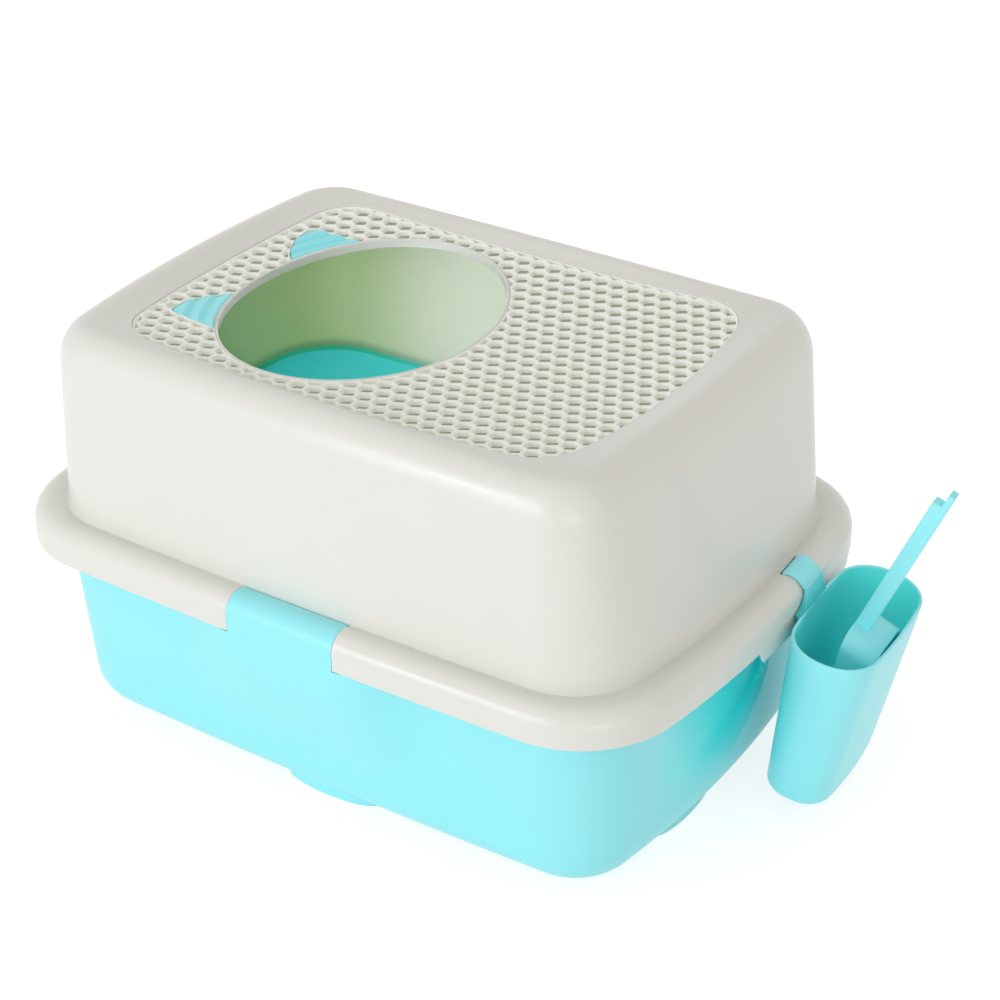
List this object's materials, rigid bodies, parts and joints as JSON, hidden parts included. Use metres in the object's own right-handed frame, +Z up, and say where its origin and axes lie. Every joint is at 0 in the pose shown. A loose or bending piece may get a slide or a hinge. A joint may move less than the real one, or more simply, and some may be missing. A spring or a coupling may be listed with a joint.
{
  "type": "top entry litter box",
  "caption": "Litter tray with a tall lift-off hood entered through an oval hole in its honeycomb top, and a scoop in a holder hooked onto the rim.",
  "frame": {"origin": "middle of the tray's flat underside, at the height of the surface it stands on", "axes": "+X along the box towards the scoop holder, +Y towards the back, +Z up"},
  "size_m": [0.6273, 0.37, 0.31],
  "materials": {
    "aqua_plastic": "smooth moulded",
    "cream_plastic": "smooth moulded",
    "deck_plastic": "smooth moulded"
  },
  "bodies": {
    "tray": {"tray": "aqua_plastic"},
    "hood": {"hood": "cream_plastic", "honeycomb_deck": "deck_plastic", "ear_front": "aqua_plastic", "ear_back": "aqua_plastic"},
    "holder": {"scoop_holder": "aqua_plastic"},
    "scoop": {"scoop": "aqua_plastic"}
  },
  "joints": [
    {"name": "hood_lift", "type": "slide", "parent": "tray", "child": "hood", "axis": [0, 0, 1], "range_m": [0, 0.03]},
    {"name": "holder_unhook", "type": "slide", "parent": "hood", "child": "holder", "axis": [0, 0, 1], "range_m": [0, 0.013]},
    {"name": "scoop_draw", "type": "slide", "parent": "holder", "child": "scoop", "axis": [0.1559, 0.0123, 0.9877], "range_m": [0, 0.13]}
  ]
}
